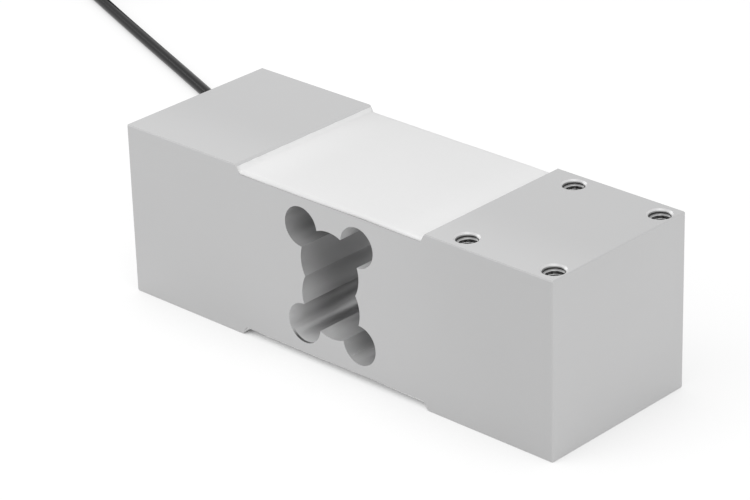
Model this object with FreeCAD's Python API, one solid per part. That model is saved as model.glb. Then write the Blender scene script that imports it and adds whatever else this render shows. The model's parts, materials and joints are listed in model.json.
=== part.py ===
import FreeCAD, Part
import math
import os

# Single point load cell: a milled spring element with four bonded foil gauges, two wiring
# boards in covered recesses, and a round cable that leaves the fixed end.
# Millimetres. Origin at the middle of the base, +X towards the loaded end, +Z up.

Vec = FreeCAD.Vector
X_AXIS = Vec(1, 0, 0)
Y_AXIS = Vec(0, 1, 0)
Z_AXIS = Vec(0, 0, 1)

# Spring element
block_length = 150.0
block_width = 52.0
block_height = 50.0
edge_break = 0.3
recess_length = 67.0       # along X at the outer face, the same on top and underneath
recess_depth = 2.5
recess_wall_angle = 60.0   # between floor and end wall
recess_foot_radius = 0.8

# Cut-out of six bores along Y
web_thickness = 2.8        # thinnest metal between a corner bore and the recess floor
corner_bore_radius = 5.7
corner_bore_spacing = 19.8
centre_bore_radius = 10.3
centre_bore_spacing = 10.2

# Tapped fixing holes, M6: four up in the load end, four down in the fixed end
thread_radius = 3.0
thread_depth = 16.0
drill_point_half_angle = 59.0
countersink_radius = 3.45
hole_spacing_x = 28.0
hole_end_distance = 4.0
hole_side_distance = 5.35

# Wiring pockets in the two recess floors, and the duct that joins them
pocket_length = 13.6
pocket_width = 34.0
pocket_depth = 3.0
pocket_corner_radius = 2.0
pocket_end_margin = 1.5
duct_radius = 3.2
duct_margin = 0.4
core_duct_radius = 2.0

# Cable entry in the fixed end face
entry_bore_radius = 4.0
entry_bore_depth = 11.0
bush_body_length = 5.0
bush_flange_radius = 5.5
bush_flange_thickness = 1.5
bush_nose_length = 5.5
bush_nose_root_radius = 3.7
bush_nose_tip_radius = 2.6
bush_groove_count = 2
bush_groove_width = 0.8
bush_groove_depth = 0.6
bush_clearance = 0.05

# Strain gauges: carrier film and etched foil grid, one over each web
film_thickness = 0.1
film_margin = 0.7
foil_thickness = 0.05
grid_length = 6.0
grid_strands = 10
strand_pitch = 0.5
slot_width = 0.2
end_loop = 0.5
tab_length = 1.4
tab_half_width = 0.6
near_lead_y = 2.8
far_lead_y = 5.6

# Fine leads from the gauge tabs to the boards
lead_radius = 0.12
lead_standoff = 0.04
lead_bend_radius = 0.5
lead_wall_gap = 0.5
lead_overlap = 0.1

# Wiring boards and what is soldered to them
board_thickness = 0.8
board_gap = 0.4
board_end_gap = 2.0
pad_thickness = 0.05
gauge_pad_length = 1.6
gauge_pad_width = 1.1
gauge_pad_inset = 1.1
core_pad_size = 1.6
core_pad_inset = 1.2
core_pad_y = (6.0, 9.5)
core_joint_offset = 0.4    # of a core's solder joint, from the middle of its pad
solder_base_radius = 0.5
solder_top_radius = 0.3
solder_height = 0.34
chip_length = 3.2
chip_width = 1.6
chip_height = 0.55
chip_cap_length = 0.5
chip_cap_step = 0.05
chip_inset = 2.6

# Flat ribbon that joins the two boards through the duct
ribbon_thickness = 0.4
ribbon_width = 4.0
ribbon_offset = 1.8
ribbon_bend_radius = 0.8
ribbon_pitch = 1.0
ribbon_conductors = 4
ribbon_overlap = 1.0
ribbon_pad_length = 1.2
ribbon_pad_width = 0.6

# Cover layers of white sealant in the two recesses
sealant_thickness = 0.8
sealant_side_inset = 0.2
sealant_edge_radius = 0.45
sealant_pool_radius = 2.0
sealant_wall_angle = 45.0  # of its surface beside the recess's end walls
sealant_rim_drop = 0.7     # from the block's face down to where it ends
sealant_rim_width = 0.15

# Cable: a round jacket, a shield and four cores
core_names = ["red", "black", "green", "white"]
cable_diameter = 3.7
cable_inside = 7.0
shield_outer_radius = 1.65
shield_inner_radius = 1.4
shield_length = 1.5
core_radius = 0.45
core_pitch = 1.2
core_offset = 1.2
core_bend_radius = 1.5
core_top_bend_radius = 0.8
core_rise = 0.4

# Coil of the cable's spare length, with its band
coil_mean_radius = 22.2
coil_lanes = 3
coil_layers = 3
coil_turns = 8.55
band_thickness = 0.4
band_width = 6.0
band_turn = 0.28

# Free end of the cable
sleeve_length = 10.0
flying_lead_radius = 0.6
flying_lead_length = 38.0
flying_lead_step = 3.0
flying_lead_levels = 2
drain_radius = 0.35
tip_radius = 0.35
tip_length = 4.0

# How the cable and its coil lie
surface_gap = 0.05         # under the cable where it lies
lane_gap = 0.05            # between two flying leads side by side

# Modelling margins
tool_overrun = 1.0         # of a cutting tool past the faces that it cuts
tiny = 1e-3                # two lengths closer than this are the same

# Heights and places worked out from the sizes above
mid_height = block_height / 2
half_length = block_length / 2
recess_floor = block_height - recess_depth
recess_wall_run = 1 / math.tan(math.radians(recess_wall_angle))
sealant_surface_run = 1 / math.tan(math.radians(sealant_wall_angle))
recess_floor_half = recess_length / 2 - recess_depth * recess_wall_run
corner_bore_drop = mid_height - recess_depth - web_thickness - corner_bore_radius
pocket_floor = recess_floor - pocket_depth
pocket_min_x = -recess_floor_half + pocket_end_margin
pocket_max_x = pocket_min_x + pocket_length
duct_x = pocket_min_x + duct_margin + duct_radius
board_min_x = duct_x + duct_radius + board_gap
board_max_x = pocket_max_x - board_gap
board_half_width = pocket_width / 2 - board_end_gap
board_top = pocket_floor + board_thickness
pad_top = board_top + pad_thickness
foil_top = recess_floor + film_thickness + foil_thickness
grid_width = grid_strands * strand_pitch
gauge_pad_x = board_max_x - gauge_pad_inset
core_pad_x = board_min_x + core_pad_inset
bush_bore_radius = cable_diameter / 2 + bush_clearance
jacket_end_x = -half_length + cable_inside
coil_low_r = coil_mean_radius - coil_lanes * cable_diameter / 2
coil_high_r = coil_mean_radius + coil_lanes * cable_diameter / 2
coil_outer_turn = coil_high_r - cable_diameter / 2
coil_top = band_thickness + coil_layers * cable_diameter
lane_r = coil_low_r + cable_diameter / 2

# Route of the free cable, from its end inside the entry bore to the first turn of the coil.
# It leaves the bush level, sinks to the surface, and runs off along it.
lying = cable_diameter / 2 + surface_gap
coil_lying = band_thickness + cable_diameter / 2
cable_route = [
    Vec(jacket_end_x, 0, mid_height),
    Vec(-94, 0, mid_height),
    Vec(-111, 14, 11),
    Vec(-120, 36, 3.2),
    Vec(-127, 57, lying),
    Vec(-137, 73, lying),
    Vec(-154, 80.2, lying),
    Vec(-178, 89.7, lying),
    Vec(-205, 100.2, lying),
    Vec(-231, 110.5, lying),
    Vec(-254, 119.8, lying),
    Vec(-275, 127.6, coil_lying),
]

# Share of the shorter run that an arc of the cable may take up
arc_share = 0.45


def box(low, high):
    """Box between two opposite corners."""
    size = high - low
    return Part.makeBox(size.x, size.y, size.z, low)


def joined(shapes):
    """One solid made from touching or overlapping solids."""
    return shapes[0].multiFuse(shapes[1:]).removeSplitter()


def prism_along_y(points, y_min, y_max):
    """Prism with a profile of (x, z) points, drawn out along Y."""
    corners = [Vec(x, y_min, z) for x, z in points]
    face = Part.Face(Part.makePolygon(corners + corners[:1]))
    return face.extrude(Y_AXIS * (y_max - y_min))


def underneath(shape):
    """The same shape on the lower side of the block."""
    return shape.mirror(Vec(0, 0, mid_height), Z_AXIS)


def rounded_path(points, radii):
    """Wire of straight runs joined by arcs that are tangent to both runs."""
    edges = []
    start = points[0]
    for before, corner, after, radius in zip(points, points[1:], points[2:], radii):
        heading = (corner - before).normalize()
        leaving = (after - corner).normalize()
        half_turn = heading.getAngle(leaving) / 2
        reach = radius * math.tan(half_turn)
        inward = (leaving - heading).normalize()
        middle = corner + inward * (radius / math.cos(half_turn) - radius)
        arc_start = corner - heading * reach
        arc_end = corner + leaving * reach
        edges.append(Part.LineSegment(start, arc_start).toShape())
        edges.append(Part.Arc(arc_start, middle, arc_end).toShape())
        start = arc_end
    edges.append(Part.LineSegment(start, points[-1]).toShape())
    return Part.Wire(edges)


def tube(path, first_run, radius):
    """Round solid that follows a path whose first run has the given direction."""
    start = path.OrderedVertexes[0].Point
    profile = Part.Wire(Part.makeCircle(radius, start, first_run))
    return path.makePipeShell([profile], True, False)


def bent_wire(points, radius, bends):
    """Round wire through points, with one bend radius for each inner point."""
    return tube(rounded_path(points, bends), points[1] - points[0], radius)


def route_radii(points):
    """Arc radius at each inner point: as large as the two runs beside it allow."""
    radii = []
    for before, corner, after in zip(points, points[1:], points[2:]):
        shorter = min((corner - before).Length, (after - corner).Length)
        half_turn = (corner - before).getAngle(after - corner) / 2
        radii.append(arc_share * shorter / math.tan(half_turn))
    return radii


def fixing_hole(x, y):
    """Tool for a tapped hole that opens upwards at the top face: countersink, wall, drill point."""
    point_height = thread_radius / math.tan(math.radians(drill_point_half_angle))
    sink = countersink_radius - thread_radius
    bottom = block_height - thread_depth
    profile = [
        (0, bottom - point_height),
        (thread_radius, bottom),
        (thread_radius, block_height - sink),
        (countersink_radius + sink, block_height + sink),
        (0, block_height + sink),
    ]
    corners = [Vec(x + radius, y, z) for radius, z in profile]
    face = Part.Face(Part.makePolygon(corners + corners[:1]))
    return face.revolve(Vec(x, y, 0), Z_AXIS, 360)


def hole_places():
    """Centres of the four fixing holes of the load end."""
    outer_x = half_length - hole_end_distance
    side_y = block_width / 2 - hole_side_distance
    return [(x, y) for x in (outer_x - hole_spacing_x, outer_x) for y in (-side_y, side_y)]


def trough(half_length_at_top, floor_z, wall_run, foot_radius):
    """Tool across the whole top face: flat floor, sloping end walls, rounded feet.

    wall_run is how far a wall leans out along X for each unit of its height."""
    floor_half = half_length_at_top - (block_height - floor_z) * wall_run
    high_half = half_length_at_top + tool_overrun * wall_run
    high_z = block_height + tool_overrun
    profile = [(-floor_half, floor_z), (floor_half, floor_z),
               (high_half, high_z), (-high_half, high_z)]
    reach = block_width / 2 + tool_overrun
    tool = prism_along_y(profile, -reach, reach)
    feet = [edge for edge in tool.Edges
            if abs(edge.CenterOfMass.z - floor_z) < tiny and edge.BoundBox.XLength < tiny]
    return tool.makeFillet(foot_radius, feet)


def recess():
    """Tool for the full-width recess of the top face."""
    return trough(recess_length / 2, recess_floor, recess_wall_run, recess_foot_radius)


def pocket():
    """Tool for the wiring pocket in the top recess floor, with rounded corners."""
    block = box(Vec(pocket_min_x, -pocket_width / 2, pocket_floor),
                Vec(pocket_max_x, pocket_width / 2, block_height))
    upright = [edge for edge in block.Edges if abs(edge.tangentAt(0).z) > 0.5]
    return block.makeFillet(pocket_corner_radius, upright)


def cut_out():
    """Tool for the six merging bores through the middle of the block."""
    places = [(side * corner_bore_spacing / 2, mid_height + level * corner_bore_drop,
               corner_bore_radius) for side in (-1, 1) for level in (-1, 1)]
    places += [(0, mid_height + level * centre_bore_spacing / 2, centre_bore_radius)
               for level in (-1, 1)]
    start_y = -block_width / 2 - tool_overrun
    length = block_width + 2 * tool_overrun
    bores = [Part.makeCylinder(radius, length, Vec(x, start_y, z), Y_AXIS)
             for x, z, radius in places]
    return joined(bores)


def spring_element():
    """The milled block with every recess, bore, duct and fixing hole."""
    block = box(Vec(-half_length, -block_width / 2, 0),
                Vec(half_length, block_width / 2, block_height))
    block = block.makeChamfer(edge_break, block.Edges)
    load_holes = [fixing_hole(x, y) for x, y in hole_places()]
    base_holes = [underneath(fixing_hole(-x, y)) for x, y in hole_places()]
    entry = Part.makeCylinder(entry_bore_radius, entry_bore_depth,
                              Vec(-half_length, 0, mid_height), X_AXIS)
    core_duct = Part.makeCylinder(core_duct_radius, duct_x + half_length,
                                  Vec(-half_length, 0, mid_height), X_AXIS)
    duct = Part.makeCylinder(duct_radius, block_height, Vec(duct_x, 0, 0), Z_AXIS)
    tools = [recess(), underneath(recess()), pocket(), underneath(pocket()), cut_out(),
             entry, core_duct, duct]
    return block.cut(tools + load_holes + base_holes)


def gauge_film(gauge_x, lead_y):
    """Carrier film under one gauge, large enough for its grid and solder tabs."""
    half_width = lead_y + tab_half_width + film_margin
    return box(
        Vec(gauge_x - grid_length / 2 - tab_length - film_margin, -half_width, recess_floor),
        Vec(gauge_x + grid_length / 2 + film_margin, half_width, recess_floor + film_thickness))


def gauge_grid(gauge_x, lead_y):
    """Etched foil: one plate cut by slots from alternate ends into a meander, with two tabs."""
    low_x = gauge_x - grid_length / 2
    high_x = gauge_x + grid_length / 2
    low_z = recess_floor + film_thickness
    plate = box(Vec(low_x, -grid_width / 2, low_z), Vec(high_x, grid_width / 2, foil_top))
    slots = []
    for number in range(1, grid_strands):
        y = -grid_width / 2 + number * strand_pitch
        opens_at_low_end = number % 2 == 1
        slot_low = low_x - end_loop if opens_at_low_end else low_x + end_loop
        slot_high = high_x - end_loop if opens_at_low_end else high_x + end_loop
        slots.append(box(Vec(slot_low, y - slot_width / 2, low_z - foil_thickness),
                         Vec(slot_high, y + slot_width / 2, foil_top + foil_thickness)))
    inner_y = grid_width / 2 - strand_pitch + slot_width / 2
    outer_y = lead_y + tab_half_width
    tabs = [box(Vec(low_x - tab_length, min(side * inner_y, side * outer_y), low_z),
                Vec(low_x, max(side * inner_y, side * outer_y), foil_top)) for side in (-1, 1)]
    return joined([plate.cut(slots)] + tabs)


def gauge_leads(gauge_x, lead_y):
    """The two fine leads of one gauge, from its tabs down to their pads on the board."""
    tab_x = gauge_x - grid_length / 2 - tab_length / 2
    floor_z = foil_top + lead_standoff + lead_radius
    pad_z = pad_top + lead_standoff + lead_radius
    wall_x = pocket_max_x - lead_wall_gap
    leads = []
    for side in (-1, 1):
        y = side * lead_y
        points = [Vec(tab_x + lead_overlap, y, floor_z), Vec(wall_x, y, floor_z),
                  Vec(wall_x, y, pad_z), Vec(gauge_pad_x - lead_overlap, y, pad_z)]
        leads.append(bent_wire(points, lead_radius, [lead_bend_radius] * 2))
    return leads


def board():
    """Wiring board on the floor of the top pocket."""
    return box(Vec(board_min_x, -board_half_width, pocket_floor),
               Vec(board_max_x, board_half_width, board_top))


def ribbon_places():
    """Y places of the ribbon's conductors."""
    first = -(ribbon_conductors - 1) * ribbon_pitch / 2
    return [first + number * ribbon_pitch for number in range(ribbon_conductors)]


def gauge_lead_places():
    """Y places of the four gauge leads."""
    return [side * y for y in (near_lead_y, far_lead_y) for side in (-1, 1)]


def core_places():
    """Y places of the four core pads, in the order of the cores."""
    return [side * y for y in core_pad_y for side in (-1, 1)]


def pad(x, y, length, width):
    """One flat copper pad on the board, centred at x, y."""
    return box(Vec(x - length / 2, y - width / 2, board_top),
               Vec(x + length / 2, y + width / 2, pad_top))


def gauge_pads():
    """Pads for the gauge leads and for the ribbon, which both boards have."""
    ribbon_pad_x = board_min_x + ribbon_overlap + ribbon_pad_length / 2
    pads = [pad(gauge_pad_x, y, gauge_pad_length, gauge_pad_width)
            for y in gauge_lead_places()]
    pads += [pad(ribbon_pad_x, y, ribbon_pad_length, ribbon_pad_width)
             for y in ribbon_places()]
    return pads


def core_pads():
    """Pads for the cable's cores, on the top board only."""
    return [pad(core_pad_x, y, core_pad_size, core_pad_size) for y in core_places()]


def solder(x, y, z):
    """One joint of solder, a low blunt cone."""
    return Part.makeCone(solder_base_radius, solder_top_radius, solder_height, Vec(x, y, z))


def lead_solder():
    """Joints on the gauge tabs and on the gauge pads of one board."""
    joints = [solder(gauge_pad_x, y, pad_top) for y in gauge_lead_places()]
    for gauge_x, lead_y in gauges():
        tab_x = gauge_x - grid_length / 2 - tab_length / 2
        joints += [solder(tab_x, side * lead_y, foil_top) for side in (-1, 1)]
    return joints


def chip(x, y):
    """Chip resistor lying along Y: ceramic body with two slightly thicker end caps."""
    base = pad_top
    body = box(Vec(x - chip_width / 2, y - chip_length / 2, base),
               Vec(x + chip_width / 2, y + chip_length / 2, base + chip_height))
    caps = [box(Vec(x - chip_width / 2 - chip_cap_step, low_y, base - pad_thickness),
                Vec(x + chip_width / 2 + chip_cap_step, low_y + chip_cap_length,
                    base + chip_height + chip_cap_step))
            for low_y in (y - chip_length / 2, y + chip_length / 2 - chip_cap_length)]
    return joined([body] + caps)


def ribbon():
    """Flat ribbon in the duct, with a leg on each board: a rounded C drawn out along Y."""
    x = duct_x + ribbon_offset
    end_x = board_min_x + ribbon_overlap
    outer_low = block_height - pad_top - ribbon_thickness
    outer_high = pad_top + ribbon_thickness
    outer = box(Vec(x - ribbon_thickness / 2, -ribbon_width / 2, outer_low),
                Vec(end_x, ribbon_width / 2, outer_high))
    inner = box(Vec(x + ribbon_thickness / 2, -ribbon_width, block_height - pad_top),
                Vec(end_x + ribbon_width, ribbon_width, pad_top))
    outer = fillet_back_edges(outer, ribbon_bend_radius + ribbon_thickness)
    inner = fillet_back_edges(inner, ribbon_bend_radius)
    return outer.cut(inner)


def fillet_back_edges(block, radius):
    """Round the two edges along Y at the block's low X side."""
    low_x = block.BoundBox.XMin
    edges = [edge for edge in block.Edges
             if edge.BoundBox.XMax < low_x + tiny and edge.BoundBox.YLength > tiny
             and edge.BoundBox.ZLength < tiny]
    return block.makeFillet(radius, edges)


def sealant(covered):
    """White layer over the recess floor and up its end walls, cut round what it covers.

    It pools at the feet of the walls, ends below the block's face, and is rounded along its
    open sides."""
    rim_z = block_height - sealant_rim_drop
    rim_x = recess_length / 2 - sealant_rim_drop * recess_wall_run - sealant_rim_width
    open_space = trough(rim_x + sealant_rim_drop * sealant_surface_run,
                        recess_floor + sealant_thickness, sealant_surface_run,
                        sealant_pool_radius)
    half_width = block_width / 2 - sealant_side_inset
    layer = box(Vec(-recess_length / 2, -half_width, recess_floor),
                Vec(recess_length / 2, half_width, rim_z)).cut(open_space)
    open_sides = [edge for edge in layer.Edges
                  if edge.BoundBox.YLength < tiny and lies_on(open_space, edge)]
    return layer.makeFillet(sealant_edge_radius, open_sides).common(recess()).cut(covered)


def lies_on(shape, edge):
    """Whether the middle of an edge touches a shape."""
    middle = edge.valueAt((edge.FirstParameter + edge.LastParameter) / 2)
    return shape.distToShape(Part.Vertex(middle))[0] < tiny


def cores():
    """The four cores inside the block: along the core duct, up the duct, over to their pads."""
    bend_x = duct_x - core_offset
    pad_z = pad_top + lead_standoff + core_radius
    over_z = pad_z + core_rise
    wires = []
    for level, pad_reach in zip((-1, 1), core_pad_y):
        for side in (-1, 1):
            y = side * core_pitch / 2
            z = mid_height + level * core_pitch / 2
            x = bend_x - level * core_pitch / 2
            points = [Vec(jacket_end_x, y, z), Vec(x, y, z), Vec(x, y, over_z),
                      Vec(core_pad_x, side * pad_reach, pad_z)]
            lower_bend = core_bend_radius + (1 - level) / 2 * core_pitch
            wires.append(bent_wire(points, core_radius, [lower_bend, core_top_bend_radius]))
    return wires


def entry_ring(x_from, x_to, outer_radius, inner_radius):
    """Ring about the entry bore's axis."""
    start = Vec(x_from, 0, mid_height)
    outer = Part.makeCylinder(outer_radius, x_to - x_from, start, X_AXIS)
    return outer.cut(Part.makeCylinder(inner_radius, x_to - x_from, start, X_AXIS))


def cable_bush():
    """Rubber bush: body in the bore, flange on the end face, tapered nose with grooves."""
    body_radius = entry_bore_radius - bush_clearance
    nose_start = bush_flange_thickness
    nose_slope = (bush_nose_root_radius - bush_nose_tip_radius) / bush_nose_length
    profile = [(-bush_body_length, bush_bore_radius), (-bush_body_length, body_radius),
               (0, body_radius), (0, bush_flange_radius),
               (nose_start, bush_flange_radius), (nose_start, bush_nose_root_radius)]
    groove_pitch = bush_nose_length / (bush_groove_count + 0.5)
    for number in range(bush_groove_count):
        groove_start = (number + 0.5) * groove_pitch
        for along, depth in ((0, 0), (0, bush_groove_depth),
                             (bush_groove_width, bush_groove_depth), (bush_groove_width, 0)):
            distance = groove_start + along
            radius = bush_nose_root_radius - nose_slope * distance - depth
            profile.append((nose_start + distance, radius))
    nose_end = nose_start + bush_nose_length
    profile += [(nose_end, bush_nose_tip_radius), (nose_end, bush_bore_radius)]
    corners = [Vec(-half_length - out, 0, mid_height + radius) for out, radius in profile]
    face = Part.Face(Part.makePolygon(corners + corners[:1]))
    return face.revolve(Vec(0, 0, mid_height), X_AXIS, 360)


def entry_potting(around):
    """Resin plug that fills the entry bore behind the bush, round the cable's prepared end."""
    low_x = -half_length + bush_body_length
    high_x = -half_length + entry_bore_depth
    plug = Part.makeCylinder(entry_bore_radius, high_x - low_x, Vec(low_x, 0, mid_height), X_AXIS)
    return plug.cut(around)


def gauges():
    """Place along X and lead spacing of the two gauges of one side."""
    return [(-corner_bore_spacing / 2, near_lead_y), (corner_bore_spacing / 2, far_lead_y)]


def coil_frame():
    """Centre of the coil and the angle at which the route meets it, turning clockwise."""
    last_run = (cable_route[-1] - cable_route[-2])
    last_run.z = 0
    last_run.normalize()
    to_centre = Vec(last_run.y, -last_run.x, 0)
    centre = cable_route[-1] + to_centre * coil_outer_turn
    return Vec(centre.x, centre.y, 0), math.degrees(math.atan2(-to_centre.y, -to_centre.x))


def ring_sector(section, start_angle, sweep):
    """A face in the XZ plane at the coil's centre, turned to an angle and swept clockwise."""
    placed = section.copy()
    placed.rotate(Vec(0, 0, 0), Z_AXIS, start_angle)
    placed.translate(coil_centre)
    return placed.revolve(coil_centre, Z_AXIS * -1, sweep)


def section_of(block):
    """Face where a solid meets the XZ plane."""
    return Part.Face(block.slice(Y_AXIS, 0)[0])


def upright_box(low_r, high_r, low_z, high_z):
    """Box across the XZ plane, to be cut into a section."""
    return box(Vec(low_r, -tool_overrun, low_z), Vec(high_r, tool_overrun, high_z))


def rounded_section(low_r, high_r, low_z, high_z, radius):
    """Rounded rectangle in the XZ plane."""
    block = upright_box(low_r, high_r, low_z, high_z)
    along_y = [edge for edge in block.Edges if edge.BoundBox.YLength > tool_overrun]
    return section_of(block.makeFillet(radius, along_y))


def round_section(r, z, radius):
    """Circle in the XZ plane."""
    return Part.Face(Part.Wire(Part.makeCircle(radius, Vec(r, 0, z), Y_AXIS)))


def cable_coil():
    """Closed outer shape of the wound cable, less the lane in which its free end lies."""
    ring = ring_sector(rounded_section(coil_low_r, coil_high_r, band_thickness, coil_top,
                                       cable_diameter / 2), meeting_angle, 360)
    lane = upright_box(coil_low_r - tool_overrun, coil_low_r + cable_diameter,
                       coil_top - cable_diameter, coil_top + tool_overrun)
    return ring.cut(ring_sector(section_of(lane), end_angle, 360 - end_turn_degrees))


def coil_band():
    """Thin band round the bundle of turns."""
    outer = rounded_section(coil_low_r - band_thickness, coil_high_r + band_thickness, 0,
                            coil_top + band_thickness, cable_diameter / 2 + band_thickness)
    inner = rounded_section(coil_low_r, coil_high_r, band_thickness, coil_top,
                            cable_diameter / 2)
    sweep = math.degrees(band_width / coil_mean_radius)
    return ring_sector(outer.cut(inner).Faces[0], meeting_angle - band_turn * 360, sweep)


def along_lane(section, start_length, length):
    """A section swept along the free end's lane, from start_length past the jacket's end."""
    per_length = 180 / (math.pi * lane_r)
    return ring_sector(section, end_angle - start_length * per_length, length * per_length)


def flying_leads():
    """Each flying lead's insulated part and its tinned tip."""
    insulated, tips = [], []
    lane_floor = coil_top - cable_diameter
    for number in range(len(core_names)):
        side = -1 if number % 2 == 0 else 1
        level = number // (len(core_names) // flying_lead_levels)
        r = lane_r + side * (flying_lead_radius + lane_gap)
        z = lane_floor + flying_lead_radius + level * 2 * flying_lead_radius
        length = flying_lead_length - number * flying_lead_step
        insulated.append(along_lane(round_section(r, z, flying_lead_radius),
                                    sleeve_length, length))
        tips.append(along_lane(round_section(r, z, tip_radius),
                               sleeve_length + length, tip_length))
    return insulated, tips


# Place of the coil, where the route meets its outer turn
coil_centre, meeting_angle = coil_frame()
end_turn_degrees = (coil_turns - math.floor(coil_turns)) * 360
end_angle = meeting_angle - end_turn_degrees

parts = {"spring_element": spring_element()}

# Gauges, boards and leads of the top recess, and the same underneath
top = {"grid": [], "film": [], "lead": []}
for (place_x, place_y), end_name in zip(gauges(), ("fixed_end", "load_end")):
    film = gauge_film(place_x, place_y)
    grid = gauge_grid(place_x, place_y)
    parts["top_gauge_film_" + end_name] = film
    parts["top_gauge_grid_" + end_name] = grid
    parts["bottom_gauge_film_" + end_name] = underneath(film)
    parts["bottom_gauge_grid_" + end_name] = underneath(grid)
    top["film"].append(film)
    top["grid"].append(grid)
    top["lead"] += gauge_leads(place_x, place_y)
lead_joints = [joint.cut(top["lead"]) for joint in lead_solder()]
covered_by_sealant = top["film"] + top["grid"] + top["lead"] + lead_joints
parts["top_gauge_leads"] = Part.Compound(top["lead"])
parts["bottom_gauge_leads"] = underneath(Part.Compound(top["lead"]))
parts["top_sealant"] = sealant(covered_by_sealant)
parts["bottom_sealant"] = underneath(parts["top_sealant"])
parts["bridge_board"] = board()
parts["terminal_board"] = underneath(board())
parts["bridge_board_pads"] = Part.Compound(gauge_pads() + core_pads())
parts["terminal_board_pads"] = underneath(Part.Compound(gauge_pads()))
parts["board_ribbon"] = ribbon()

# Resistors of the bridge board
zero_resistor_x = board_max_x - chip_width
span_resistor_y = board_half_width - chip_inset
parts["zero_resistor"] = chip(zero_resistor_x, 0)
parts["span_resistors"] = Part.Compound(
    [chip((board_min_x + board_max_x) / 2, side * span_resistor_y) for side in (-1, 1)])

# Cable inside the block
inner_cores = cores()
for name, core in zip(core_names, inner_cores):
    parts["core_" + name] = core
core_joints = [solder(core_pad_x + core_joint_offset, y, pad_top).cut(inner_cores)
               for y in core_places()]
parts["top_solder_joints"] = Part.Compound(lead_joints + core_joints)
parts["bottom_solder_joints"] = underneath(Part.Compound(lead_joints))
shield = entry_ring(jacket_end_x, jacket_end_x + shield_length,
                    shield_outer_radius, shield_inner_radius)
parts["cable_shield"] = shield
parts["cable_bush"] = cable_bush()

# Cable outside the block
radii = route_radii(cable_route)
route_path = rounded_path(cable_route, radii)
parts["cable_coil"] = cable_coil()
whole_run = tube(route_path, X_AXIS * -1, cable_diameter / 2)
parts["cable_run"] = whole_run.cut(parts["cable_coil"])
parts["entry_potting"] = entry_potting([whole_run, shield] + inner_cores)
parts["coil_band"] = coil_band()
parts["end_sleeve"] = along_lane(
    round_section(lane_r, coil_top - cable_diameter / 2, cable_diameter / 2), 0, sleeve_length)
insulated_leads, lead_tips = flying_leads()
for name, lead in zip(core_names, insulated_leads):
    parts["flying_lead_" + name] = lead
parts["flying_lead_tips"] = Part.Compound(lead_tips)
drain_z = coil_top - cable_diameter + flying_lead_levels * 2 * flying_lead_radius + drain_radius
parts["drain_wire"] = along_lane(
    round_section(lane_r, drain_z, drain_radius), sleeve_length, flying_lead_length)

section_area = math.pi * (cable_diameter / 2) ** 2
print("cable arc radii:", [round(radius, 1) for radius in radii])
print("cable run: length", round(route_path.Length, 1), "volume", round(whole_run.Volume, 1),
      "section x length", round(section_area * route_path.Length, 1))

os.makedirs("parts", exist_ok=True)
for name, shape in parts.items():
    shape.exportStep("parts/" + name + ".step")
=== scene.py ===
"""Finish of a single point load cell: machined block, cover layers, threads, cable and wiring."""

import json
import math

import bpy
import numpy as np
from bpy.props import FloatProperty, FloatVectorProperty, IntProperty, PointerProperty
from bpy.types import NodeSocket
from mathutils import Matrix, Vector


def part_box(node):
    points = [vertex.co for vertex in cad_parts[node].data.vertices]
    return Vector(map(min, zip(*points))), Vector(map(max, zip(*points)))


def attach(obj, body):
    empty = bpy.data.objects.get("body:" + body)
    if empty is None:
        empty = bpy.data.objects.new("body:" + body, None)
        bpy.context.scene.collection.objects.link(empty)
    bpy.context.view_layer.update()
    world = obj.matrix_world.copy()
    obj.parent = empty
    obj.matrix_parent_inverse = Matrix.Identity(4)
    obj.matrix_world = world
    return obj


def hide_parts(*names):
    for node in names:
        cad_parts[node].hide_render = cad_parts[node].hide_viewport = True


bl_info = {
    "name": "Single point load cell",
    "version": (1, 0, 0),
    "blender": (4, 5, 0),
    "location": "3D View > Sidebar > Load Cell",
    "description": "Builds the visible surfaces and materials of a single point load cell",
    "category": "Add Mesh",
}

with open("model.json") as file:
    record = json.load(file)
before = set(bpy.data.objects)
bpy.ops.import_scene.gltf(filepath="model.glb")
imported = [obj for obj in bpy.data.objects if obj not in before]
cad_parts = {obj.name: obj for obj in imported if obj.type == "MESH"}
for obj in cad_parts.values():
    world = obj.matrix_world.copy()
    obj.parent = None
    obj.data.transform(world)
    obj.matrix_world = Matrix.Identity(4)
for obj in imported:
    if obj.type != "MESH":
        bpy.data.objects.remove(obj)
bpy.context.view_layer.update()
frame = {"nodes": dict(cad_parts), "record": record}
block_low, block_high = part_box("spring_element")
cover_low, cover_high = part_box("top_sealant")
mounts = {mount["name"]: mount for mount in frame["record"]["mounts"]}

MM = 0.001
BODY = "root"
RECESS_DEPTH = block_high.z - cover_low.z
WALL_ANGLE = math.radians(60)
# Half the length of the block that holds all the bored walls
HALF_CUT_OUT = 19 * MM
# A face is square to an axis where more than this part of its normal lies along it
SQUARE_ON = 0.9
CORE_COLOURS = {
    "red": (0.42, 0.018, 0.014),
    "black": (0.012, 0.012, 0.013),
    "green": (0.02, 0.19, 0.05),
    "white": (0.72, 0.72, 0.70),
}

# Route of the free cable, from inside the entry bore to the first turn of its coil
CABLE_ROUTE = [
    (-0.068, 0, 0.025),
    (-0.094, 0, 0.025),
    (-0.111, 0.014, 0.011),
    (-0.120, 0.036, 0.0032),
    (-0.127, 0.057, 0.0019),
    (-0.137, 0.073, 0.0019),
    (-0.154, 0.0802, 0.0019),
    (-0.178, 0.0897, 0.0019),
    (-0.205, 0.1002, 0.0019),
    (-0.231, 0.1105, 0.0019),
    (-0.254, 0.1198, 0.0019),
    (-0.275, 0.1276, 0.00225),
]

# How light the floor's own white is, by how open the floor is to the sky
FLOOR_SHADE = [(0, 0.05), (0.06, 0.25), (0.09, 0.34), (0.18, 0.6), (0.27, 0.75), (0.42, 0.84),
               (0.5, 0.88), (0.62, 0.925), (0.8, 0.975), (1, 1)]

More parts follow.
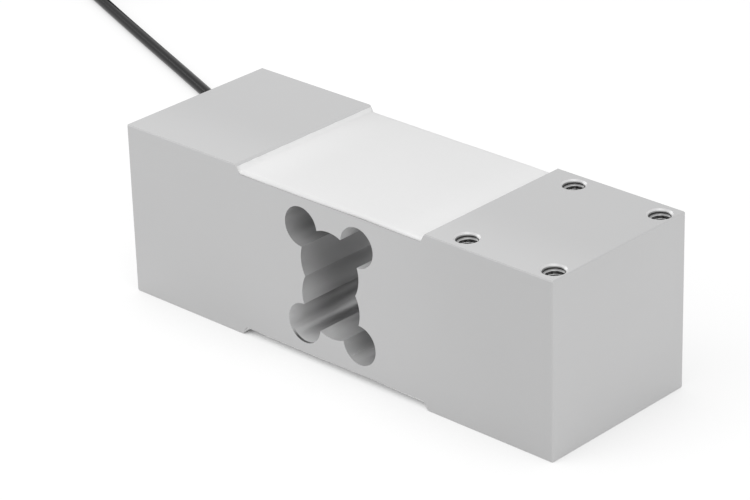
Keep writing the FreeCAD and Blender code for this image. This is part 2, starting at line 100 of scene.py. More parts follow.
# Each lamp's position in words and in metres, its side, its power, and if surfaces mirror it
LAMPS = {
    "key": ("above the front", (-0.35, -0.75, 0.8), 0.9, 7.0, False),
    "side": ("beside the loaded end", (1.2, -0.45, 0.55), 0.7, 3.5, False),
    "top": ("above the part", (0.25, -0.25, 1.0), 0.5, 0.5, True),
    "back": ("behind the part", (-0.86, 0.88, 0.54), 0.6, 0.25, True),
    "end": ("past the fixed end", (-1.2, -0.1, 0.57), 0.45, 1.1, True),
}


# Sizes and colours

def length(name, description, default):
    """Property for a length in metres."""
    return FloatProperty(name=name, description=description, default=default,
                         unit="LENGTH", subtype="DISTANCE", precision=5)


def share(name, description, default):
    """Property for a plain number between nothing and all."""
    return FloatProperty(name=name, description=description, default=default,
                         min=0.0, max=1.0, subtype="FACTOR")


def amount(name, description, default):
    """Property for a plain number without a unit."""
    return FloatProperty(name=name, description=description, default=default)


def count(name, description, default):
    """Property for a whole number of things."""
    return IntProperty(name=name, description=description, default=default, min=1)


def colour(name, description, default):
    """Property for a colour, in linear values."""
    return FloatVectorProperty(name=name, description=description, default=default,
                               min=0.0, max=1.0, subtype="COLOR")


class LOADCELL_PG_block(bpy.types.PropertyGroup):
    """Machined block and the threads in it."""

    metal: colour("Metal", "Satin aluminium of the outer faces", (0.562, 0.562, 0.564))
    # Painted shade on the tops towards the rear, painted light along the front edge
    shaded_top_metal: colour("Top metal", "Top faces from the middle to the rear", (0.541, 0.541, 0.543))
    lit_front_metal: colour("Front metal", "Top faces along the front edge", (0.585, 0.585, 0.587))
    # Painted light: the end faces are a lighter tone of the same metal
    lit_end_metal: colour("End metal", "The two end faces, cut across", (0.592, 0.592, 0.594))
    # Painted shade: the sides darken towards the loaded end
    shaded_side_metal: colour("Side metal", "The sides towards the loaded end", (0.528, 0.528, 0.53))
    side_start: length("Side start", "Where along the block the sides begin to darken", 0.01)
    side_stop: length("Side stop", "Where along the block they are darkest", 0.062)
    # Painted light and shade in the bores: lighter at the mouths, darker deep inside
    deep_bore_shade: colour("Bore metal", "Bored walls deep inside", (0.46, 0.46, 0.462))
    lit_mouth_metal: colour("Mouth metal", "Bored walls at their mouths", (0.55, 0.55, 0.552))
    bright_mouth_light: colour("Bright mouth", "Mouths away from one diagonal", (0.93, 0.93, 0.932))
    bright_spread: length("Bright spread", "From that diagonal to the brightest walls", 0.024)
    mouth_depth: length("Mouth depth", "How far in the bored walls darken", 0.0075)
    bright_depth: length("Bright depth", "How far in the bright mouths darken", 0.017)
    # Painted light: the recesses' end walls are a lighter tone
    lit_wall_metal: colour("Wall metal", "End walls of the recesses", (0.615, 0.615, 0.617))
    # Painted highlight on the countersinks
    rim_highlight_metal: colour("Rim metal", "Countersinks", (0.68, 0.68, 0.682))
    # Painted shade: a dark band at the mouth of the lower left bore
    burr_shade_metal: colour("Burr metal", "Burr at the lower left bore", (0.18, 0.18, 0.18))
    burr_shade_width: length("Burr width", "Width of that burr", 0.0008)
    face_roughness: share("Face roughness", "Roughness of the outer faces", 0.46)
    bore_roughness: share("Bore roughness", "Roughness of the bored walls", 0.25)
    bore_shine: share("Bore shine", "Share of the bored walls' look that is bare metal", 0.5)
    mark_width: length("Mark width", "Width of one tool mark", 0.00012)
    mark_length: length("Mark length", "Length of one tool mark", 0.012)
    mark_depth: length("Mark depth", "Depth of the tool marks", 0.000004)
    bore_marks: share("Bore marks", "Share of that depth on the bored walls", 0.1)
    cloud_size: length("Cloud size", "Size of the soft patches in the finish", 0.035)
    thread_metal: colour("Thread metal", "Freshly cut metal of the threads", (0.52, 0.52, 0.52))
    # Painted shade in the threads' grooves
    groove_shade: share("Groove dark", "How much darker the threads' grooves are", 0.6)
    thread_pitch: length("Thread pitch", "From one ridge to the next", 0.001)
    thread_start: share("Thread start", "Share of a turn at which a thread begins", 0.22)
    first_ridge: share("First ridge", "Height of the low first ridge, as part of a full one", 0.3)
    lead_in: share("Lead-in", "Part of a turn over which the ridge grows", 0.25)
    root_radius: length("Root radius", "From a hole's axis to the foot of its ridges", 0.00295)
    shell_radius: length("Shell radius", "From the axis to a thread's hidden back", 0.002995)
    ridge_height: length("Ridge height", "Height of a thread's ridges", 0.00048)
    sink_radius: length("Sink radius", "Countersink at the mouth of a hole", 0.00345)
    thread_depth: length("Thread depth", "Length of the cut thread", 0.0159)
    thread_columns: count("Thread columns", "Faces round a hole", 48)
    thread_rows: count("Thread rows", "Rows of faces to each ridge", 12)


class LOADCELL_PG_cover(bpy.types.PropertyGroup):
    """White cover layers in the two recesses."""

    white: colour("White", "Cover layer where it is thick", (0.9, 0.9, 0.9))
    roughness: share("Roughness", "Roughness of the cover layer", 0.62)
    gloss: share("Gloss", "Specular level of the cover layer", 0.3)
    thickness: length("Thickness", "Layer over the recess floor", 0.0008)
    wall_angle: FloatProperty(name="Wall angle", description="Of the recess's end walls",
                              default=WALL_ANGLE, unit="ROTATION", subtype="ANGLE")
    pool_slope: amount("Pool slope", "Rise of the layer beside the end walls, to its run", 1.2)
    pool_size: length("Pool size", "How far the layer curves up to that slope", 0.0003)
    rim_wave: length("Rim wave", "Height of the waves where the layer ends on a wall", 0.00012)
    inset: length("Inset", "From the block's side to the layer", 0.00022)
    retreat: length("Retreat", "How far the front edge draws back at its thinnest place", 0.0003)
    retreat_x: length("Retreat place", "Where along the block the front edge draws back", 0.012)
    retreat_spread: length("Retreat spread", "Half length of the drawn back stretch", 0.009)
    wide_edge: length("Wide edge", "Width of the rounded edge at the fixed end", 0.0013)
    narrow_edge: length("Narrow edge", "Width of the rounded edge at the loaded end", 0.0005)
    edge_wave: length("Edge wave", "Height of the waves along the edges", 0.00008)
    swell: length("Swell", "Height of the soft swells on the layer", 0.00003)
    floor_gap: length("Floor gap", "Between the layer's underside and the recess floor", 0.00001)
    # Grey where the layer is thin and where shade is painted
    thin_shaded_white: colour("Thin white", "Where metal shows through it", (0.52, 0.52, 0.52))
    flat_thinness: share("Flat thinness", "How thin the layer looks on the flat", 0.2237)
    # Painted light: the layer is lighter near both ends
    end_light_reach: length("Full reach", "How far from its ends the layer looks thicker", 0.017)
    fixed_end_light: share("Fixed fullness", "How much thicker, at the fixed end's front", 0.62)
    loaded_end_light: share("Loaded fullness", "How much thicker, at the loaded end", 0.38)
    # Painted shade at the front edge's foot, partly from a thin edge
    edge_thin_shade: share("Edge thinness", "How thin the layer looks at its edges' feet", 0.8)
    # Painted shade along the rear side
    rear_shade: share("Rear thinness", "How thin the layer looks along its rear side", 0.16)


class LOADCELL_PG_cable(bpy.types.PropertyGroup):
    """Cable, its coil and what is on it."""

    jacket: colour("Jacket", "Cable jacket", (0.006, 0.006, 0.0065))
    jacket_roughness: share("Jacket roughness", "Roughness of the jacket", 0.2)
    jacket_gloss: share("Jacket gloss", "Specular level of the jacket", 0.13)
    diameter: length("Diameter", "Outer diameter of the cable", 0.0037)
    whole_length: length("Whole length", "Length of the jacketed cable", 1.47)
    coil_radius: length("Coil radius", "Mean radius of the coil", 0.0222)
    coil_floor: length("Coil floor", "Height of the coil's lowest turns", 0.0004)
    coil_lanes: count("Coil lanes", "Turns side by side", 3)
    coil_layers: count("Coil layers", "Turns on top of each other", 3)
    coil_turns: amount("Coil turns", "Turns of the jacketed cable", 8.55)
    turn_points: count("Turn points", "Curve points to a turn", 24)
    rubber: colour("Rubber", "Bush and end sleeve", (0.020, 0.020, 0.021))
    band: colour("Band", "Band round the coil", (0.055, 0.055, 0.058))
    bare_metal: colour("Bare metal", "Tinned wire", (0.62, 0.61, 0.58))
    resin: colour("Resin", "Resin behind the bush", (0.055, 0.035, 0.018))


class LOADCELL_PG_wiring(bpy.types.PropertyGroup):
    """Gauges and boards under the cover layers."""

    board: colour("Board", "Solder mask of the boards", (0.012, 0.115, 0.045))
    trace: colour("Trace", "Solder mask over a trace", (0.03, 0.21, 0.08))
    pad: colour("Pad", "Plated pads", (0.80, 0.62, 0.26))
    solder: colour("Solder", "Solder", (0.66, 0.66, 0.65))
    film: colour("Film", "Carrier film of the gauges", (0.62, 0.33, 0.06))
    foil: colour("Foil", "Etched foil of the gauges", (0.62, 0.50, 0.40))
    chip: colour("Chip", "Body of a resistor", (0.02, 0.02, 0.022))
    ribbon: colour("Ribbon", "Ribbon between the boards", (0.34, 0.34, 0.35))
    ribbon_mark: colour("Ribbon mark", "Marked conductor of the ribbon", (0.45, 0.03, 0.02))


class LOADCELL_PG_studio(bpy.types.PropertyGroup):
    """Camera, floor and lights."""

    camera_place: FloatVectorProperty(name="Camera place", description="Where the camera stands",
                                      default=(0.50360, -0.53541, 0.37931),
                                      unit="LENGTH", subtype="TRANSLATION", precision=5)
    camera_turn: FloatVectorProperty(name="Camera turn", description="How the camera is turned",
                                     default=[math.radians(a) for a in (64.3139, 1.5489, 42.9749)],
                                     unit="ROTATION", subtype="EULER")
    camera_lens: FloatProperty(name="Camera lens", description="Focal length in millimetres",
                               default=148.27, unit="CAMERA")
    floor_size: length("Floor size", "Side of the square floor", 6.0)
    floor_drop: length("Floor drop", "Floor below the part's base", 0.00005)
    floor_colour: colour("Floor colour", "Floor", (0.88, 0.88, 0.88))
    backdrop: colour("Backdrop", "What camera and mirrors see as the background", (1.0, 1.0, 1.0))
    floor_white: share("Floor white", "Share of the floor that no lamp's shadow reaches", 0.78)
    mirrored_white: share("Mirrored white", "That share where a surface mirrors the floor", 0.7)
    floor_glow: amount("Floor glow", "Brightness of that share", 1.075)
    shade_reach: length("Shade reach", "How far off the part shades the floor", 0.03)
    sky_light: amount("Sky light", "Brightness of the sky on dull surfaces", 0.54)


# Every lamp has a side and a power of its own
for lamp, (where, _, size, power, _) in LAMPS.items():
    LOADCELL_PG_studio.__annotations__.update({
        lamp + "_size": length(lamp.capitalize() + " size", "Side of the lamp " + where, size),
        lamp + "_power": amount(lamp.capitalize() + " power",
                                "Power in watts of the lamp " + where, power)})


# Surfaces

def grid_quads(rows, columns, close_rows=False, close_columns=False):
    """Faces of a grid whose points are numbered row by row; closed ways join last to first."""
    row = np.arange(rows if close_rows else rows - 1)[:, None]
    column = np.arange(columns if close_columns else columns - 1)[None, :]
    next_row, next_column = (row + 1) % rows, (column + 1) % columns
    corners = [row * columns + column, row * columns + next_column,
               next_row * columns + next_column, next_row * columns + column]
    return np.stack(corners, axis=-1).reshape(-1, 4)


def enclosed_volume(points, quads, caps):
    """Volume inside a closed surface: the sum of the pyramids from the origin to its faces."""
    fans = [quads[:, [0, 1, 2]], quads[:, [0, 2, 3]]]
    for cap in caps:
        rest = np.stack([cap[1:-1], cap[2:]], axis=-1)
        fans.append(np.column_stack([np.full(len(rest), cap[0]), rest]))
    a, b, c = np.moveaxis(points[np.concatenate(fans)], 1, 0)
    return (a * np.cross(b, c)).sum() / 6


def new_object(name, data):
    """Object in the scene from a mesh, a curve, a camera or a lamp."""
    thing = bpy.data.objects.new(name, data)
    bpy.context.scene.collection.objects.link(thing)
    return thing


def closed_piece(name, points, quads, caps, material, **kept_values):
    """Piece from a closed surface of quads and end caps, its faces turned outwards.

    Each kept value has one number for each point, which the material can read by its name.
    """
    volume, smallest = enclosed_volume(points, quads, caps), MM ** 4
    if abs(volume) < smallest:
        raise RuntimeError(name + " encloses no space")
    faces = [*quads, *caps]
    if volume < 0:
        faces = [face[::-1] for face in faces]
    mesh = bpy.data.meshes.new(name)
    mesh.from_pydata(points.tolist(), [], [face.tolist() for face in faces])
    mesh.polygons.foreach_set("use_smooth", np.ones(len(mesh.polygons), bool))
    mesh.set_sharp_from_angle(angle=math.radians(35))
    for label, values in kept_values.items():
        mesh.attributes.new(label, "FLOAT", "POINT").data.foreach_set("value", values)
    mesh.materials.append(material)
    mesh.update()
    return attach(new_object(name, mesh), BODY)


def smooth_step(value):
    """Rises from 0 to 1 with level ends: 3 v squared less 2 v cubed."""
    value = np.clip(value, 0.0, 1.0)
    return value * value * (3 - 2 * value)


# Shared effects

def set_inputs(node, inputs):
    """Give a node's inputs their values, or links where a value is a socket."""
    for key, value in inputs.items():
        if isinstance(value, NodeSocket):
            node.id_data.links.new(value, node.inputs[key])
        else:
            node.inputs[key].default_value = value


def add_node(tree, kind, inputs=None, **settings):
    """One node with its own settings and its inputs."""
    node = tree.nodes.new(kind)
    for key, value in settings.items():
        setattr(node, key, value)
    set_inputs(node, inputs or {})
    return node


def maths(operation, *values, kind="ShaderNodeMath", **settings):
    """Result of one sum on numbers and sockets, in the tree of the first socket."""
    tree = next(value.id_data for value in values if isinstance(value, NodeSocket))
    return add_node(tree, kind, dict(enumerate(values)), operation=operation,
                    **settings).outputs[0]


def vector_maths(operation, *values):
    """Result of one sum on vectors."""
    return maths(operation, *values, kind="ShaderNodeVectorMath")


def all_of(*masks):
    """Mask that is full only where every given one is."""
    whole = masks[0]
    for mask in masks[1:]:
        whole = maths("MULTIPLY", whole, mask)
    return whole


def axes_of(vector):
    """The three parts of a vector."""
    return add_node(vector.id_data, "ShaderNodeSeparateXYZ", {0: vector}).outputs


def ramp(value, start, stop, kind="SMOOTHSTEP"):
    """Rise from 0 where the value is at the start to 1 where it is at the stop."""
    return add_node(value.id_data, "ShaderNodeMapRange", {0: value, 1: start, 2: stop},
                    interpolation_type=kind).outputs[0]


def opaque(rgb):
    """A colour with its alpha; a socket stays as it is."""
    return rgb if isinstance(rgb, NodeSocket) else (*rgb, 1.0)


def blended(mask, low, high, kind="RGBA"):
    """Mix of two colours, vectors or numbers by a mask."""
    if kind == "RGBA":
        low, high = opaque(low), opaque(high)
    first, result = {"FLOAT": (2, 0), "VECTOR": (4, 1), "RGBA": (6, 2)}[kind]
    inputs = {0: mask, first: low, first + 1: high}
    return add_node(mask.id_data, "ShaderNodeMix", inputs, data_type=kind).outputs[result]


def curve_through(value, stops):
    """Value read from a smooth curve through the stops, each a pair of before and after."""
    node = add_node(value.id_data, "ShaderNodeFloatCurve", {"Value": value})
    points = node.mapping.curves[0].points
    points[0].location, points[1].location = stops[0], stops[-1]
    for stop in stops[1:-1]:
        points.new(*stop)
    node.mapping.update()
    return node.outputs[0]


def new_group(name, inputs, outputs):
    """Node group with its input sockets and output node; a socket's name says its kind."""
    group = bpy.data.node_groups.new(name, "ShaderNodeTree")
    for way, labels in (("INPUT", inputs), ("OUTPUT", outputs)):
        for label in labels:
            kind = {"Vector": "Vector", "Colour": "Color"}.get(label, "Float")
            group.interface.new_socket(label, in_out=way, socket_type="NodeSocket" + kind)
    return group, group.nodes.new("NodeGroupInput").outputs, group.nodes.new("NodeGroupOutput")


def build_grain(name):
    """Grain: a noise that shifts a colour's brightness and a roughness about their own values."""
    group, given, output = new_group(
        name, ("Vector", "Scale", "Colour", "Shade", "Roughness", "Dulling"),
        ("Colour", "Roughness", "Height"))
    noise = add_node(group, "ShaderNodeTexNoise", {
        "Vector": given["Vector"], "Scale": given["Scale"], "Detail": 4.0, "Roughness": 0.55})
    swing = maths("MULTIPLY_ADD", noise.outputs[0], 2.0, -1.0)
    value = maths("MULTIPLY_ADD", swing, given["Shade"], 1.0)
    tinted = add_node(group, "ShaderNodeHueSaturation", {"Color": given["Colour"], "Value": value})
    rough = maths("MULTIPLY_ADD", swing, given["Dulling"], given["Roughness"])
    set_inputs(output, {"Colour": tinted.outputs[0], "Roughness": rough,
                        "Height": noise.outputs[0]})
    return group


def build_stripes(name):
    """Stripes: soft edged bands that repeat along a distance, each as wide as its share."""
    group, given, output = new_group(name, ("Distance", "Pitch", "Share"), ("Mask", "Height"))
    saw = maths("FRACT", maths("DIVIDE", given["Distance"], given["Pitch"]))
    middle = maths("ABSOLUTE", maths("SUBTRACT", saw, 0.5))
    edge = maths("SUBTRACT", maths("MULTIPLY", given["Share"], 0.5), middle)
    sharpness = 30.0
    round_top = maths("COSINE", maths("MULTIPLY", middle, 2 * math.pi))
    set_inputs(output, {"Mask": maths("MULTIPLY_ADD", edge, sharpness, 0.5, use_clamp=True),
                        "Height": maths("MULTIPLY_ADD", round_top, 0.5, 0.5)})
    return group


def build_weave(name):
    """Weave: strands that cross at right angles, over and under, from two counted distances."""
    group, given, output = new_group(name, ("Across", "Along"), ("Mask", "Height"))
    waves = [maths("ABSOLUTE", maths("SINE", maths("MULTIPLY", count, math.pi)))
             for count in (given["Across"], given["Along"])]
    cells = maths("ADD", maths("FLOOR", given["Across"]), maths("FLOOR", given["Along"]))
    height = blended(maths("PINGPONG", cells, 1.0), *waves, "FLOAT")
    gap_edge, gap_start = 4.0, 0.4
    set_inputs(output, {"Mask": maths("MULTIPLY_ADD", height, gap_edge, -gap_start, use_clamp=True),
                        "Height": height})
    return group


EFFECTS = {"Grain": build_grain, "Stripes": build_stripes, "Weave": build_weave}


def effect(name, inputs):
    """Outputs of a shared effect, whose group is built when a material first asks for it."""
    group = bpy.data.node_groups.get(name) or EFFECTS[name](name)
    tree = next(iter(inputs.values())).id_data
    return add_node(tree, "ShaderNodeGroup", inputs, node_tree=group).outputs


# Materials

def new_material(name):
    """Material with the piece's own coordinates."""
    material = bpy.data.materials.new(name)
    material.use_nodes = True
    return material, add_node(material.node_tree, "ShaderNodeTexCoord").outputs["Object"]


def finished(material, rgb, roughness, normal, others=None):
    """The material, once its shader has its colour, roughness, relief and other inputs."""
    set_inputs(material.node_tree.nodes["Principled BSDF"],
               {"Base Color": rgb, "Roughness": roughness, "Normal": normal, **(others or {})})
    return material


def grain(place, rgb, size, shade, roughness, dulling, stretch=(1.0, 1.0, 1.0)):
    """Colour and roughness with a grain of a given size on them, and the grain's height."""
    spread = add_node(place.id_data, "ShaderNodeMapping", {"Vector": place, "Scale": stretch})
    return effect("Grain", {"Vector": spread.outputs[0], "Scale": 1 / size, "Colour": opaque(rgb),
                            "Shade": shade, "Roughness": roughness, "Dulling": dulling})


def relief(height, depth, strength=1.0, under=None):
    """Bump of a given depth, on top of another one where that is given."""
    inputs = {"Height": height, "Distance": depth, "Strength": strength}
    if under is not None:
        inputs["Normal"] = under
    return add_node(height.id_data, "ShaderNodeBump", inputs).outputs[0]


def grained_material(name, rgb, roughness, size, shade=0.06, dulling=0.05, depth=0.01 * MM,
                     metallic=0.0, stretch=(1.0, 1.0, 1.0), coat=0.0):
    """Material of one colour with a fine grain in its shade, its gloss and its surface."""
    material, place = new_material(name)
    rgb, roughness, height = grain(place, rgb, size, shade, roughness, dulling, stretch)
    return finished(material, rgb, roughness, relief(height, depth),
                    {"Metallic": metallic, "Coat Weight": coat})


def outer_metal(sizes, place, facing):
    """Metal of the outer faces, told apart by the parts of their normals.

    The sides darken towards the loaded end, which is painted shade, and the tops go from
    painted shade at the rear to painted light along the front. The ends and the recesses' sloping
    end walls have lighter tones of painted light, and the countersinks a painted highlight.
    """
    x, y, _ = axes_of(place)
    on_end, on_side, on_top = (maths("GREATER_THAN", part, SQUARE_ON) for part in facing)
    # Painted shade on the sides towards the loaded end
    darker = all_of(on_side, ramp(x, sizes.side_start, sizes.side_stop))
    metal = blended(darker, sizes.metal, sizes.shaded_side_metal)
    # Painted light on the end faces
    metal = blended(on_end, metal, sizes.lit_end_metal)
    # Painted light along the front of the tops, painted shade towards the rear
    top = blended(ramp(y, 0.0, block_low.y), sizes.shaded_top_metal, sizes.lit_front_metal)
    metal = blended(on_top, metal, top)
    # Painted light on the recesses' sloping end walls
    wall_tilt, wall_tolerance = math.sin(WALL_ANGLE), 0.03
    on_wall = maths("COMPARE", facing[0], wall_tilt, wall_tolerance)
    metal = blended(on_wall, metal, sizes.lit_wall_metal)
    # Painted highlight on the countersinks
    rim_tilt, rim_tolerance = math.sin(math.radians(45)), 0.05
    off_edges = [maths("LESS_THAN", maths("ABSOLUTE", axis), limit - MM / 2)
                 for axis, limit in ((x, block_high.x), (y, block_high.y))]
    on_rim = all_of(maths("COMPARE", facing[2], rim_tilt, rim_tolerance), *off_edges)
    return blended(on_rim, metal, sizes.rim_highlight_metal)


def bored_metal(sizes, place, normal):
    """Metal of the bored walls, with painted shade that darkens them inwards from their mouths.

    Away from the diagonal x + z = half the height the mouths have more painted light, which
    fades over a longer way. A band of painted shade lies along the mouth of the lower left bore,
    where its wall faces up.
    """
    x, y, z = axes_of(place)
    off_diagonal = maths("ABSOLUTE", maths("SUBTRACT", maths("ADD", x, z), block_high.z / 2))
    # Painted light at the mouths, more of it away from the diagonal
    bright = ramp(off_diagonal, 0.0, sizes.bright_spread)
    mouth = blended(bright, sizes.lit_mouth_metal, sizes.bright_mouth_light)
    reach = blended(bright, sizes.mouth_depth, sizes.bright_depth, "FLOAT")
    # Painted shade deeper inside the bores
    inwards = maths("SUBTRACT", block_high.y, maths("ABSOLUTE", y))
    wall = blended(ramp(inwards, 0.0, reach), mouth, sizes.deep_bore_shade)
    # Painted shade along the mouth of the lower left bore, where its wall faces up
    faint_from, full_from, burr_shade_top = 0.55, 0.85, block_high.z / 6
    burr_shade = all_of(ramp(axes_of(normal)[2], faint_from, full_from, "LINEAR"),
                  maths("LESS_THAN", x, 0.0),
                  maths("LESS_THAN", y, sizes.burr_shade_width - block_high.y),
                  maths("LESS_THAN", z, burr_shade_top))
    return blended(burr_shade, wall, sizes.burr_shade_metal)


def block_material(sizes):
    """Satin aluminium: soft clouds, and fine straight tool marks along Y on ends and bores.

    The bored walls are smoother and duller. They lie near the middle, between the recesses,
    and don't face to the side.
    """
    material, place = new_material("satin_aluminium")
    normal = add_node(material.node_tree, "ShaderNodeNewGeometry").outputs["Normal"]
    facing = axes_of(vector_maths("ABSOLUTE", normal))
    x, _, z = axes_of(place)
    half_height = block_high.z / 2
    from_middle = maths("ABSOLUTE", maths("SUBTRACT", z, half_height))
    bored = all_of(maths("LESS_THAN", maths("ABSOLUTE", x), HALF_CUT_OUT),
                   maths("LESS_THAN", from_middle, half_height - RECESS_DEPTH - MM),
                   maths("LESS_THAN", facing[1], SQUARE_ON))
    turned = maths("MAXIMUM", bored, maths("GREATER_THAN", facing[0], SQUARE_ON))
    long = sizes.mark_width / sizes.mark_length
    marked = blended(turned, vector_maths("MULTIPLY", place, (long, 1.0, 1.0)),
                     vector_maths("MULTIPLY", place, (1.0, long, 1.0)), "VECTOR")
    metal = blended(bored, outer_metal(sizes, place, facing), bored_metal(sizes, place, normal))
    gloss = blended(bored, sizes.face_roughness, sizes.bore_roughness, "FLOAT")
    rgb, roughness, _ = grain(place, metal, sizes.cloud_size, shade=0.035, roughness=gloss,
                              dulling=0.04)
    rgb, roughness, height = grain(marked, rgb, sizes.mark_width, shade=0.02,
                                   roughness=roughness, dulling=0.03)
    strength = blended(bored, 1.0, sizes.bore_marks, "FLOAT")
    return finished(material, rgb, roughness, relief(height, sizes.mark_depth, strength),
                    {"Metallic": blended(bored, 1.0, sizes.bore_shine, "FLOAT")})


def thread_material(sizes):
    """Cut thread: bright ridges, with painted shade that darkens them towards the foot of the
    grooves.
    """
    material, place = new_material("cut_thread")
    groove = add_node(place.id_data, "ShaderNodeAttribute", attribute_name="groove").outputs["Fac"]
    # Painted shade towards the foot of each groove
    foot = [value * (1 - sizes.groove_shade) for value in sizes.thread_metal]
    metal = blended(groove, sizes.thread_metal, foot)
    rgb, roughness, height = grain(place, metal, size=0.2 * MM, shade=0.08, roughness=0.34,
                                   dulling=0.05)
    return finished(material, rgb, roughness, relief(height, 0.004 * MM), {"Metallic": 1.0})


def cover_material(sizes):
    """White sealant: soft swells with a fine skin, greyer where the layer is thin and where shade
    is painted, lighter where light is painted.
    """
    material, place = new_material("cover_white")
    # The thin attribute is thinness with painted shade, less painted light near the ends and pools
    thin = add_node(place.id_data, "ShaderNodeAttribute", attribute_name="thin").outputs["Fac"]
    white = blended(thin, sizes.white, sizes.thin_shaded_white)
    rgb, roughness, swells = grain(place, white, size=11 * MM, shade=0.012,
                                   roughness=sizes.roughness, dulling=0.06,
                                   stretch=(0.7, 1.0, 1.0))
    rgb, roughness, skin = grain(place, rgb, size=0.6 * MM, shade=0.01, roughness=roughness,
                                 dulling=0.03)
    waves = relief(swells, 0.12 * MM)
    return finished(material, rgb, roughness, relief(skin, 0.006 * MM, under=waves),
                    {"Specular IOR Level": sizes.gloss})


def jacket_material(sizes):
    """Cable jacket: smooth drawn plastic with faint scuffs."""
    material, place = new_material("cable_jacket")
    rgb, roughness, _ = grain(place, sizes.jacket, size=4 * MM, shade=0.12,
                              roughness=sizes.jacket_roughness, dulling=0.06)
    rgb, roughness, height = grain(place, rgb, size=0.35 * MM, shade=0.05,
                                   roughness=roughness, dulling=0.05)
    return finished(material, rgb, roughness, relief(height, 0.012 * MM),
                    {"Specular IOR Level": sizes.jacket_gloss})


def braid_counts(place):
    """Strands of a braid, counted along two crossing helices round the cable's axis."""
    strands, turn_length = 16, 6 * MM
    x, y, z = axes_of(vector_maths("SUBTRACT", place, (0.0, 0.0, block_high.z / 2)))
    turns = maths("DIVIDE", maths("ARCTAN2", z, y), 2 * math.pi)
    helices = [maths("ADD", turns, maths("MULTIPLY", x, sense / turn_length))
               for sense in (1, -1)]
    return [maths("MULTIPLY", helix, strands) for helix in helices]


def band_counts(place):
    """Threads of a woven band, counted along X and Y."""
    thread_width = 0.5 * MM
    return [maths("DIVIDE", axis, thread_width) for axis in axes_of(place)[:2]]


def woven_material(name, rgb, roughness, metallic, counts):
    """Woven material, its strands counted across and along by a function of the place."""
    material, place = new_material(name)
    across, along = counts(place)
    mask, height = effect("Weave", {"Across": across, "Along": along})
    strand, roughness, _ = grain(place, rgb, size=0.4 * MM, shade=0.1, roughness=roughness,
                                 dulling=0.05)
    gap_share = 0.25
    woven = blended(mask, [gap_share * value for value in rgb], strand)
    return finished(material, woven, roughness, relief(height, 0.06 * MM),
                    {"Metallic": metallic})


def board_material(sizes):
    """Board: solder mask with raised traces along it."""
    material, place = new_material("circuit_board")
    traces, _ = effect("Stripes", {"Distance": axes_of(place)[0], "Pitch": 1.2 * MM,
                                   "Share": 0.45})
    rgb, roughness, _ = grain(place, blended(traces, sizes.board, sizes.trace), size=0.3 * MM,
                              shade=0.08, roughness=0.35, dulling=0.06)
    return finished(material, rgb, roughness, relief(traces, 0.03 * MM), {"Coat Weight": 0.3})


def ribbon_material(sizes):
    """Flat ribbon: a ridge over each conductor, the first one marked."""
    material, place = new_material("flat_ribbon")
    across = axes_of(place)[1]
    conductor_pitch = MM
    _, ridges = effect("Stripes", {"Distance": across, "Pitch": conductor_pitch, "Share": 0.8})
    marked = maths("LESS_THAN", across, -conductor_pitch)
    rgb, roughness, _ = grain(place, blended(marked, sizes.ribbon, sizes.ribbon_mark),
                              size=0.4 * MM, shade=0.06, roughness=0.5, dulling=0.05)
    return finished(material, rgb, roughness, relief(ridges, 0.1 * MM))


def chip_material(name, sizes, middle_y):
    """Resistor lying along Y: dark body between two plated caps."""
    material, place = new_material(name)
    from_middle = maths("SUBTRACT", maths("ABSOLUTE", axes_of(place)[1]), middle_y)
    cap_start = 1.1 * MM
    capped = maths("GREATER_THAN", maths("ABSOLUTE", from_middle), cap_start)
    rgb, roughness, height = grain(place, blended(capped, sizes.chip, sizes.solder),
                                   size=0.3 * MM, shade=0.08, roughness=0.4, dulling=0.08)
    return finished(material, rgb, roughness, relief(height, 0.006 * MM), {"Metallic": capped})


def dress(material, *names):
    """Give a material to carried over parts."""
    for name in names:
        part = frame["nodes"][name]
        part.data.materials.clear()
        part.data.materials.append(material)


# Operators

class LOADCELL_OT_block(bpy.types.Operator):
    """Give the machined block its satin finish"""

    bl_idname = "loadcell.block"
    bl_label = "Finish the block"

    def execute(self, context):
        dress(block_material(context.scene.loadcell_block), "spring_element")
        return {"FINISHED"}


